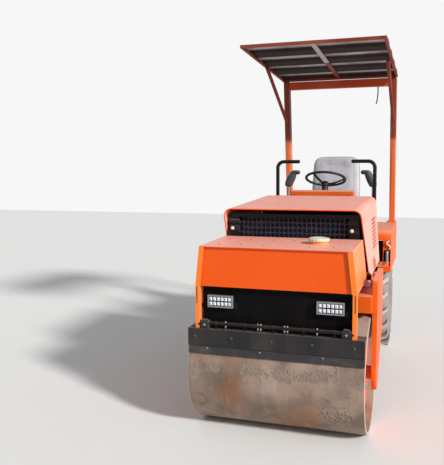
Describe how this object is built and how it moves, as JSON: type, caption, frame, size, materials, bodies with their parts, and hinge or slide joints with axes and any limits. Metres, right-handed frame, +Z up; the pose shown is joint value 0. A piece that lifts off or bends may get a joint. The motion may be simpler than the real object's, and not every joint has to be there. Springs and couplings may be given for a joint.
{
  "type": "articulated road roller",
  "caption": "Ride-on road roller with a smooth drum under a water tank, hinged in the middle, with lugged rear tyres, an engine hood, an operator's seat and a canopy on two posts.",
  "frame": {"origin": "on the ground under the middle of the machine's overall box", "axes": "+Y from the drum to the rear, +Z up, +X to the right as seen from the front"},
  "size_m": [1.284, 3.1998, 2.8516],
  "materials": {
    "orange_paint": "gloss orange enamel, dusty",
    "canopy_paint": "weathered orange enamel",
    "roof_sheet": "zinc coated sheet, grey underside",
    "black_paint": "satin black enamel",
    "drum_steel": "worn bare steel with dust and clay",
    "tyre_rubber": "dusty rubber",
    "seat_vinyl": "light grey vinyl",
    "grip_plastic": "black moulded plastic",
    "scraper_rubber": "grey rubber",
    "lamp_glass": "clear lens over reflectors",
    "cap_plastic": "off-white plastic",
    "bare_steel": "bright steel",
    "cast_grey": "cast iron"
  },
  "bodies": {
    "rear_frame": {"pivot_knuckle": "black_paint", "pivot_pin": "bare_steel", "cylinder_anchor": "black_paint", "rear_chassis": "orange_paint", "rear_axle": "black_paint", "fenders": "orange_paint", "floor": "orange_paint", "console": "orange_paint", "steering_column": "grip_plastic", "seat_base": "orange_paint", "seat_cushion": "seat_vinyl", "seat_backrest": "seat_vinyl", "rear_tank": "orange_paint", "handrails": "black_paint", "travel_levers": "bare_steel", "canopy_posts": "orange_paint", "canopy_cross_beam": "orange_paint", "canopy_pads": "orange_paint", "canopy_frame": "canopy_paint", "canopy_roof": "roof_sheet", "canopy_braces": "orange_paint", "tow_eye": "orange_paint"},
    "front_frame": {"yoke_legs": "orange_paint", "front_deck": "orange_paint", "front_cross_beam": "orange_paint", "front_spine": "orange_paint", "water_tank": "orange_paint", "tank_cover": "orange_paint", "tank_side_plates": "orange_paint", "filler_neck": "orange_paint", "filler_cap": "cap_plastic", "light_panel": "black_paint", "tank_stays": "black_paint", "work_lights": "lamp_glass", "scraper_beam": "black_paint", "scraper_blade": "scraper_rubber", "spray_bar": "black_paint", "scraper_brackets": "black_paint", "engine": "cast_grey", "radiator": "black_paint", "grille": "black_paint", "grille_stays": "black_paint", "bulkhead": "black_paint", "engine_bed": "black_paint", "rod_bracket": "black_paint"},
    "drum": {"drum_shell": "drum_steel", "drum_heads": "orange_paint"},
    "hood": {"hood": "orange_paint"},
    "wheel_left": {"wheel_rim_left": "orange_paint", "tyre_left": "tyre_rubber"},
    "wheel_right": {"wheel_rim_right": "orange_paint", "tyre_right": "tyre_rubber"},
    "steering_wheel": {"steering_wheel": "grip_plastic"},
    "cylinder_barrel": {"cylinder_barrel": "black_paint"},
    "cylinder_rod": {"cylinder_rod": "bare_steel"}
  },
  "joints": [
    {"name": "steering", "type": "hinge", "parent": "rear_frame", "child": "front_frame", "pos_m": [0, 0.22, 0.72], "axis": [0, 0, 1], "range_deg": [-30, 30]},
    {"name": "drum_turn", "type": "hinge", "parent": "front_frame", "child": "drum", "pos_m": [0, -1.18, 0.42], "axis": [1, 0, 0], "continuous": true},
    {"name": "hood_lift", "type": "hinge", "parent": "front_frame", "child": "hood", "pos_m": [0, 0.122, 1.55], "axis": [-1, 0, 0], "range_deg": [0, 45]},
    {"name": "wheel_left_turn", "type": "hinge", "parent": "rear_frame", "child": "wheel_left", "pos_m": [-0.475, 1.02, 0.45], "axis": [1, 0, 0], "continuous": true},
    {"name": "wheel_right_turn", "type": "hinge", "parent": "rear_frame", "child": "wheel_right", "pos_m": [0.475, 1.02, 0.45], "axis": [1, 0, 0], "continuous": true},
    {"name": "steering_wheel_turn", "type": "hinge", "parent": "rear_frame", "child": "steering_wheel", "pos_m": [0, 0.51, 1.7], "axis": [0, 0.3746, 0.9272], "continuous": true},
    {"name": "cylinder_swing", "type": "hinge", "parent": "rear_frame", "child": "cylinder_barrel", "pos_m": [0.27, 0.67, 0.47], "axis": [0, 0, 1], "range_deg": [-12, 12]},
    {"name": "cylinder_stroke", "type": "slide", "parent": "cylinder_barrel", "child": "cylinder_rod", "axis": [0, -1, 0], "range_m": [-0.14, 0.14]}
  ],
  "couplings": [
    {"joint": "cylinder_swing", "follows": "steering", "ratio": 0.377},
    {"joint": "cylinder_stroke", "follows": "steering", "m_per_rad": -0.2664}
  ]
}
